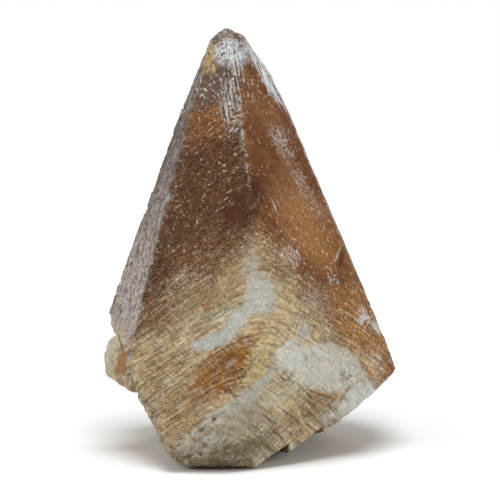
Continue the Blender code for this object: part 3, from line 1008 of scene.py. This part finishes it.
def wear_and_edge_highlight(finish, surface):
    """Edges and chips bruised white, and the bevelled right edge whitened, partly as wear and partly as a
    painted highlight. Returns the colour and the mask.
    """
    nodes = finish.nodes
    surface = finish.paint(surface, "line brown", nodes.ramp(nodes.mask("relief"), -0.8, -0.1, 0.5, 0.0))
    edges = nodes.times(nodes.mask("edge"), nodes.ramp(finish.blotch, 0.48, 0.60), 0.7)
    chips = nodes.times(nodes.mask("chipped"), nodes.ramp(finish.sugar, 0.40, 0.58, 0.15, 0.6))
    # The scored threads whiten the bevelled right edge: partly wear, partly a painted highlight.
    scored = nodes.ramp(finish.thread(finish.bent, RIGHT_EDGE, 9.0, 0.40, 1.0), 0.36, 0.52)
    scored = nodes.times(scored, nodes.ramp(finish.mottle, 0.40, 0.56, 0.25, 1.0))
    # Worn holds the wear and the painted highlight on the bevelled edge.
    worn = nodes.larger(edges, chips, nodes.times(nodes.mask("bevelled"), scored, 0.8))
    return finish.paint(surface, "white", worn), worn


def build_calcite(colours):
    """The crystal's finish: honey-brown calcite over a pale lower half, bruised white where it is worn."""
    material, nodes, shader = new_material("calcite")
    finish = Finish(nodes, colours)

    surface, lines = base_colours(finish)
    surface, lines = paint_zones(finish, STREAKY_ZONES, finish.strewn, surface, lines)
    surface = tip_colours(finish, surface)
    like_sugar = nodes.ramp(finish.sugar, 0.42, 0.54)
    surface = paint_marks(finish, FROSTED, finish.strewn, surface, like_sugar)
    surface = left_face_colours(finish, surface)
    surface, lines = paint_zones(finish, CALM_ZONES, finish.calm, surface, lines)
    surface, line_relief = cleavage_lines(finish, surface, lines)
    surface = scratches(finish, surface, lines)
    surface = grain_and_specks(finish, surface, lines)
    surface = paint_marks(finish, SEAMS, finish.bent, surface)
    surface, worn = wear_and_edge_highlight(finish, surface)
    nodes.fill(shader.inputs["Base Color"], surface)

    roughness = nodes.blend(finish.right_side, MATT, SATIN)
    roughness = nodes.plus(roughness, nodes.ramp(finish.mottle, 0.3, 0.7, -0.08, 0.12))
    nodes.fill(shader.inputs["Roughness"], nodes.blend(worn, roughness, WORN))

    line_height = nodes.times(line_relief, lines, LINE_HEIGHT)
    grain_height = nodes.blend(finish.right_side, FRONT_GRAIN, RIGHT_GRAIN)
    grain_height = nodes.times(finish.grain, nodes.blend(finish.left, grain_height, LEFT_FACE_GRAIN))
    height = nodes.plus(line_height, grain_height, nodes.times(finish.blotch, BLOTCH_HEIGHT))
    bump = nodes.add("ShaderNodeBump", {"Height": height, "Strength": 1.0, "Distance": 1.0 / MM})
    nodes.fill(shader.inputs["Normal"], bump.outputs["Normal"])

    for name, value in CALCITE_SHADER.items():
        shader.inputs[name].default_value = value
    return material


# Soft lights round the crystal: place in metres, diameter in metres and power in watts.
SOFTBOXES = {
    "overhead": ((0.0, -0.10, 0.70), 0.5, 3.4),
    "left": ((-0.60, -0.35, 0.35), 0.4, 2.0),
    "right": ((0.65, -0.25, 0.30), 0.4, 1.3),
    "back": ((0.10, 0.70, 0.35), 0.4, 0.8),
}
LIGHTS_AIM = (0.0, 0.0, 0.04)

# The floor lies just under the crystal and glows towards its rim, so that it fades into the white room.
FLOOR_RADIUS = 6.0
FLOOR_GAP = 0.0001
GLOW_STARTS = 0.03
GLOW_ENDS = 0.2
GLOW = 0.9

# Where the camera stands and what it looks at, in metres, and the width of its sensor in mm.
CAMERA_PLACE = (0.00006, -0.3244, 0.06083)
CAMERA_AIM = (0.00006, 0.01211, 0.0373)
SENSOR_WIDTH = 36.0

WHITE = (1.0, 1.0, 1.0, 1.0)
BLACK = (0.0, 0.0, 0.0, 1.0)


def build_room(scene, studio):
    """A white room, plain to the camera, that lights the crystal evenly."""
    world = bpy.data.worlds.new("white room")
    world.use_nodes = True
    nodes = Nodes(world.node_tree)
    background = world.node_tree.nodes["Background"]
    seen = nodes.add("ShaderNodeLightPath").outputs["Is Camera Ray"]
    background.inputs["Color"].default_value = WHITE
    nodes.fill(background.inputs["Strength"], nodes.blend(seen, studio.room_light, 1.0))
    scene.world = world
    scene.view_settings.view_transform = "Standard"


def add_softbox(name, place, size, power):
    """A round soft light that faces the crystal."""
    light = bpy.data.lights.new(name, "AREA")
    light.shape = "DISK"
    light.size = size
    light.energy = power
    add_object(name, light, place, LIGHTS_AIM)


def floor_paper(studio):
    """Matt white paper, which glows more and more away from the crystal: a painted glow that washes out the
    shadow there.
    """
    material, nodes, shader = new_material("floor paper")
    shader.inputs["Base Color"].default_value = (*studio.floor_colour, 1.0)
    shader.inputs["Roughness"].default_value = 0.9
    away = nodes.vector("LENGTH", nodes.add("ShaderNodeTexCoord").outputs["Object"], output="Value")
    glow = nodes.ramp(away, GLOW_STARTS, GLOW_ENDS, 0.0, GLOW)
    nodes.fill(shader.inputs["Emission Color"], nodes.mix(glow, BLACK, WHITE))
    shader.inputs["Emission Strength"].default_value = 1.0
    return material


def add_floor(studio):
    """A wide round floor."""
    mesh = bmesh.new()
    bmesh.ops.create_circle(mesh, cap_ends=True, segments=96, radius=FLOOR_RADIUS)
    data = bpy.data.meshes.new("floor")
    mesh.to_mesh(data)
    mesh.free()
    data.materials.append(floor_paper(studio))
    add_object("floor", data, (0.0, 0.0, -FLOOR_GAP))


def add_camera(scene, studio):
    """A long lens, a little above the middle of the crystal."""
    data = bpy.data.cameras.new("camera")
    data.lens = studio.lens
    data.sensor_width = SENSOR_WIDTH
    scene.camera = add_object("camera", data, CAMERA_PLACE, CAMERA_AIM)


def colour_property(name, description, default):
    """A colour that a user can change, in linear red, green and blue."""
    return FloatVectorProperty(
        name=name, description=description, default=default, subtype="COLOR", size=3, min=0.0, max=1.0
    )


def length_property(name, description, default, low, high):
    """A length that a user can change, in metres."""
    return FloatProperty(
        name=name, description=description, default=default, min=low, max=high, precision=5, unit="LENGTH"
    )


def amount_property(name, description, default, high):
    """A strength that a user can change, from 0 up."""
    return FloatProperty(
        name=name, description=description, default=default, min=0.0, max=high, subtype="FACTOR"
    )


class CalciteWear(PropertyGroup):
    """Sizes of the crystal's wear."""

    grid_depth: IntProperty(
        name="Grid depth",
        description="How finely the surface is meshed: each step halves the grid",
        default=8,
        min=5,
        max=8,
    )
    edge_rounding: length_property("Edge rounding", "How softly the edges are worn", 0.0002, 0.00005, 0.002)
    tip_rounding: length_property(
        "Tip rounding", "How much softer the tip is worn than the edges", 0.0001, 0.0, 0.002
    )
    chip_reach: length_property(
        "Chip reach", "How far from its middle a chip on an edge can reach", 0.005, 0.001, 0.02
    )
    relief: amount_property("Relief", "Strength of the growth steps, grooves and roughness", 1.0, 2.0)


class CalciteColours(PropertyGroup):
    """Colours of the calcite."""

    amber: colour_property("Amber", "The clear cap on the right", (0.110, 0.032, 0.004))
    honey: colour_property("Honey", "Light glowing through the cap", (0.270, 0.122, 0.038))
    brown: colour_property("Brown", "The clear cap on the left", (0.080, 0.031, 0.010))
    umber: colour_property("Umber", "Dusky brown at the foot of the cap", (0.155, 0.072, 0.028))
    deep_brown: colour_property("Deep brown", "The darkest iron stain", (0.058, 0.013, 0.002))
    rust: colour_property("Rust", "Reddish iron stain", (0.174, 0.068, 0.018))
    orange: colour_property("Orange", "Orange iron stain", (0.340, 0.155, 0.040))
    ochre: colour_property("Ochre", "Brown iron stain", (0.224, 0.082, 0.004))
    buff: colour_property("Buff", "Stained parts of the lower half", (0.245, 0.160, 0.075))
    line_brown: colour_property("Line brown", "Stain in the cleavage lines", (0.140, 0.066, 0.020))
    tan: colour_property("Tan", "Warm parts of the lower half", (0.425, 0.305, 0.155))
    beige: colour_property("Beige", "Pale parts of the lower half", (0.400, 0.338, 0.215))
    cream: colour_property("Cream", "Milky calcite", (0.360, 0.365, 0.325))
    milk: colour_property("Milk", "The milky window", (0.450, 0.445, 0.375))
    # White is also used for painted highlights along edges.
    white: colour_property("White", "Bruised and chipped calcite", (0.500, 0.510, 0.480))
    # Frost is also the colour of painted glints outside the cap.
    frost: colour_property("Frost", "White bruises under the surface", (0.560, 0.560, 0.550))
    bruise: colour_property("Bruise", "Dull bruises under the surface", (0.380, 0.330, 0.310))
    gold: colour_property("Gold", "The golden stain beside the tip", (0.420, 0.290, 0.110))
    # Ice also paints the band down the right edge by the tip, partly a painted highlight.
    ice: colour_property("Ice", "The bruised tip", (0.590, 0.630, 0.650))
    grey: colour_property("Grey", "The pale foot", (0.340, 0.305, 0.220))
    olive: colour_property("Olive", "Shaded parts of the foot", (0.140, 0.110, 0.060))
    yellow: colour_property("Yellow", "Yellow stain", (0.430, 0.335, 0.140))
    # Lilac and slate on the left face are partly a painted reflection of the bright room.
    lilac: colour_property("Lilac", "The left face, low down", (0.365, 0.312, 0.275))
    slate: colour_property("Slate", "The left face, high up", (0.128, 0.097, 0.085))
    tip_grey: colour_property("Tip grey", "The bruised tip", (0.100, 0.062, 0.046))
    # Glint is the colour of the painted glints.
    glint: colour_property("Glint", "Fine scratches that catch the light", (0.600, 0.460, 0.310))
    soot: colour_property("Soot", "Black specks", (0.020, 0.015, 0.010))


class CalciteStudio(PropertyGroup):
    """Floor, light and camera."""

    light_strength: amount_property("Light strength", "Brightness of all the softboxes together", 1.0, 5.0)
    room_light: amount_property("Room light", "Light that comes evenly from all round", 0.30, 2.0)
    floor_colour: colour_property("Floor", "The paper floor", (0.95, 0.95, 0.95))
    lens: FloatProperty(
        name="Lens",
        description="Focal length of the camera",
        default=120.0,
        min=20.0,
        max=300.0,
        unit="CAMERA",
    )


class CALCITE_OT_crystal(Operator):
    """Grow the crystal's fine, worn surface over the solid and give it its finish"""

    bl_idname = "calcite.crystal"
    bl_label = "Crystal surface"
    bl_options = {"REGISTER", "UNDO"}

    def execute(self, context):
        wear = context.scene.calcite_wear
        piece = fine_copy(PIECE, wear.grid_depth)
        shape_surface(piece.data, wear)
        piece.data.shade_smooth()
        piece.data.materials.append(build_calcite(context.scene.calcite_colours))
        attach(piece, BODY)
        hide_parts(NODE)
        return {"FINISHED"}


class CALCITE_OT_studio(Operator):
    """Build the pale floor, the soft lights and the camera"""

    bl_idname = "calcite.studio"
    bl_label = "Studio"
    bl_options = {"REGISTER", "UNDO"}

    def execute(self, context):
        studio = context.scene.calcite_studio
        build_room(context.scene, studio)
        for name, (place, size, power) in SOFTBOXES.items():
            add_softbox(name, place, size, power * studio.light_strength)
        add_floor(studio)
        add_camera(context.scene, studio)
        return {"FINISHED"}


class CALCITE_PT_panel(Panel):
    """Sizes, colours and the steps that build the scene"""

    bl_label = "Calcite"
    bl_idname = "CALCITE_PT_panel"
    bl_space_type = "VIEW_3D"
    bl_region_type = "UI"
    bl_category = "Calcite"

    def draw(self, context):
        for operator, settings in (
            (CALCITE_OT_crystal, context.scene.calcite_wear),
            (None, context.scene.calcite_colours),
            (CALCITE_OT_studio, context.scene.calcite_studio),
        ):
            box = self.layout.box()
            for name in settings.__annotations__:
                box.prop(settings, name)
            if operator:
                box.operator(operator.bl_idname)


SETTINGS = {
    "calcite_wear": CalciteWear,
    "calcite_colours": CalciteColours,
    "calcite_studio": CalciteStudio,
}
CLASSES = (*SETTINGS.values(), CALCITE_OT_crystal, CALCITE_OT_studio, CALCITE_PT_panel)


def register():
    for item in CLASSES:
        bpy.utils.register_class(item)
    for name, item in SETTINGS.items():
        setattr(bpy.types.Scene, name, PointerProperty(type=item))


def unregister():
    for name in SETTINGS:
        delattr(bpy.types.Scene, name)
    for item in reversed(CLASSES):
        bpy.utils.unregister_class(item)


def main():
    """Build the scene."""
    register()
    bpy.ops.calcite.crystal()
    bpy.ops.calcite.studio()


if __name__ == "__main__":
    main()
